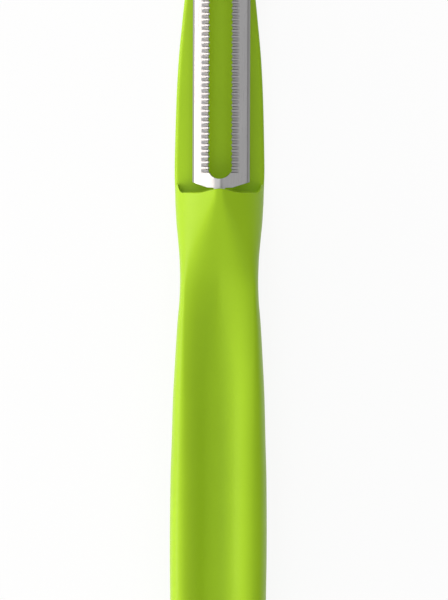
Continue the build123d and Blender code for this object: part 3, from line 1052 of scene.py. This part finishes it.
class PEELER_OT_handle(bpy.types.Operator):
    """Make the one-piece moulding: grip, shoulder, bow and nose"""

    bl_idname = "peeler.make_handle"
    bl_label = "Handle"

    def execute(self, context):
        settings = context.scene.peeler_handle
        ends = [(0, y, half_outline(y)[:, 1].mean()) for y in (BUTT_Y, NOSE_Y)]
        solid = as_object("handle_solid", *ringed(HalfSkin(settings).rows(), ends))
        depth, mouth = TANG_REACH + BORE_END_CLEARANCE - END_SETBACK, BOSS_REACH + BORE_OVERRUN
        bores = [(SHOULDER_Y - depth, SHOULDER_Y + mouth), (NOSE_WALL_Y - mouth, NOSE_WALL_Y + depth)]
        bars = [round_bar("bore_cutter", BORE_RADIUS, low, high, AXIS_HEIGHT) for low, high in bores]
        for bar in bars:
            cut = solid.modifiers.new("bore", "BOOLEAN")
            cut.operation, cut.solver, cut.object = "DIFFERENCE", "EXACT", bar
        handle = settled(solid, "moulded_handle")
        for bar in bars:
            bpy.data.objects.remove(bar)
        handle.data.materials.clear()
        handle.data.materials.append(lime_plastic(settings.colour, settings.grain))
        smoothed(handle.data)
        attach(handle, "handle")
        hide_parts("handle")
        return {"FINISHED"}


class PEELER_OT_blade(bpy.types.Operator):
    """Make the folded, slotted blade with its teeth and tangs"""

    bl_idname = "peeler.make_blade"
    bl_label = "Blade"

    def execute(self, context):
        settings = context.scene.peeler_blade
        steel = blade_steel(settings.colour)
        vertices, faces, masks = tooth_tile(settings)
        tile = masked(as_object("tooth", vertices, faces, steel), masks)
        vertices, faces, masks = blade_end(settings, 1)
        more, more_faces, more_masks = blade_end(settings, -1)
        faces = faces + [tuple(len(vertices) + i for i in face) for face in more_faces]
        ends = masked(as_object("blade_ends", vertices + more, faces, steel), masks + more_masks)
        modifier = tile.modifiers.new("Teeth", "NODES")
        modifier.node_group = teeth_tree()
        set_input(modifier, "Ends", ends)
        set_input(modifier, "Count", settings.tooth_count)
        set_input(modifier, "Pitch", settings.tooth_pitch)
        set_input(modifier, "Seam", SEAM * MM)
        set_input(modifier, "Finish", steel)
        blade = settled(tile, "folded_blade")
        bpy.data.objects.remove(ends)
        mesh = blade.data
        placed = swung([tuple(c / MM for c in v.co) for v in mesh.vertices], settings)
        mesh.vertices.foreach_set("co", np.array(placed).ravel() * MM)
        smoothed(mesh, BLADE_SHARP_EDGE)
        mesh.update()
        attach(blade, "blade")
        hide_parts("blade")
        return {"FINISHED"}


# The floor in millimetres, and the lamps and the camera in metres
FLOOR_REACH, FLOOR_LEVEL = 6000.0, -0.05
LAMP_Y = -0.02
LAMP_TARGET = (0, 0, 0.008)
KEY_DISTANCE, KEY_SIZE, KEY_COLOUR = 0.75, (2.4, 0.27), (1.0, 0.91, 0.85)
CARD_DISTANCE, CARD_HEIGHT, CARD_SIZE = 1.0, radians(53.0), (1.3, 1.3)
FILL_DISTANCE, FILL_HEIGHT, FILL_SIZE = 0.9, radians(52.0), (1.0, 1.0)
END_DISTANCE, END_HEIGHT, END_SIZE = 1.0, radians(53.0), (0.9, 0.6)
CAMERA_X, CAMERA_Y = 1.03 * MM, -2.08 * MM


def beside(side, distance, height):
    """A lamp's place to the left (-1) or the right (1), its height above the floor given as an angle."""
    return (side * distance * cos(height), LAMP_Y, distance * sin(height))


def beyond(way, distance, height):
    """A lamp's place past the butt (-1) or the nose (1), its height above the floor given as an angle."""
    return (0, way * distance * cos(height), distance * sin(height))


def add_area(name, place, size, power, colour=(1, 1, 1)):
    """A soft rectangular lamp that faces the peeler."""
    lamp = bpy.data.lights.new(name, "AREA")
    lamp.shape, lamp.size, lamp.size_y = "RECTANGLE", size[0], size[1]
    lamp.energy, lamp.color = power, colour
    made = bpy.data.objects.new(name, lamp)
    bpy.context.scene.collection.objects.link(made)
    made.location = place
    made.visible_camera = False
    made.rotation_euler = (Vector(LAMP_TARGET) - Vector(place)).to_track_quat("-Z", "Y").to_euler()


class PEELER_OT_stage(bpy.types.Operator):
    """Make the pale floor, the soft light and the camera"""

    bl_idname = "peeler.make_stage"
    bl_label = "Stage"

    def execute(self, context):
        settings = context.scene.peeler_stage
        scene = context.scene
        signs = ((-1, -1), (1, -1), (1, 1), (-1, 1))
        corners = [(x * FLOOR_REACH, y * FLOOR_REACH, FLOOR_LEVEL) for x, y in signs]
        floor = as_object("floor", corners, [(0, 1, 2, 3)], floor_paper())

        world = bpy.data.worlds.new("studio")
        scene.world = world
        world.use_nodes = True
        sky = world.node_tree.nodes["Background"]
        sky.inputs["Color"].default_value = (1, 1, 1, 1)
        sky.inputs["Strength"].default_value = settings.sky

        add_area("key", beside(-1, KEY_DISTANCE, settings.key_height), KEY_SIZE, settings.key, KEY_COLOUR)
        add_area("card", beside(-1, CARD_DISTANCE, CARD_HEIGHT), CARD_SIZE, settings.card)
        add_area("fill", beside(1, FILL_DISTANCE, FILL_HEIGHT), FILL_SIZE, settings.fill)
        add_area("butt_light", beyond(-1, END_DISTANCE, END_HEIGHT), END_SIZE, settings.ends)
        add_area("nose_light", beyond(1, END_DISTANCE, END_HEIGHT), END_SIZE, settings.ends)

        camera_data = bpy.data.cameras.new("camera")
        camera_data.lens = camera_data.sensor_width * settings.distance / settings.view_height
        camera_data.dof.use_dof = False
        camera = bpy.data.objects.new("camera", camera_data)
        scene.collection.objects.link(camera)
        camera.location = (CAMERA_X, CAMERA_Y, settings.distance + AXIS_HEIGHT * MM)
        camera.rotation_euler = (0, 0, settings.roll)
        scene.camera = camera
        scene.view_settings.view_transform = "Standard"
        return {"FINISHED"}


class PEELER_PT_panel(bpy.types.Panel):
    """Lists the parts of the peeler and their settings"""

    bl_idname = "PEELER_PT_panel"
    bl_label = "Swivel peeler"
    bl_space_type = "VIEW_3D"
    bl_region_type = "UI"
    bl_category = "Peeler"

    def draw(self, context):
        for operator, name in (
            (PEELER_OT_handle, "peeler_handle"),
            (PEELER_OT_blade, "peeler_blade"),
            (PEELER_OT_stage, "peeler_stage"),
        ):
            box = self.layout.box()
            box.operator(operator.bl_idname)
            settings = getattr(context.scene, name)
            for key in settings.__annotations__:
                box.prop(settings, key)


CLASSES = (
    HandleSettings, BladeSettings, StageSettings,
    PEELER_OT_handle, PEELER_OT_blade, PEELER_OT_stage, PEELER_PT_panel,
)


def register():
    for cls in CLASSES:
        bpy.utils.register_class(cls)
    bpy.types.Scene.peeler_handle = PointerProperty(type=HandleSettings)
    bpy.types.Scene.peeler_blade = PointerProperty(type=BladeSettings)
    bpy.types.Scene.peeler_stage = PointerProperty(type=StageSettings)


def unregister():
    del bpy.types.Scene.peeler_handle, bpy.types.Scene.peeler_blade, bpy.types.Scene.peeler_stage
    for cls in reversed(CLASSES):
        bpy.utils.unregister_class(cls)


def main():
    register()
    bpy.ops.peeler.make_stage()
    bpy.ops.peeler.make_handle()
    bpy.ops.peeler.make_blade()


if __name__ == "__main__":
    main()
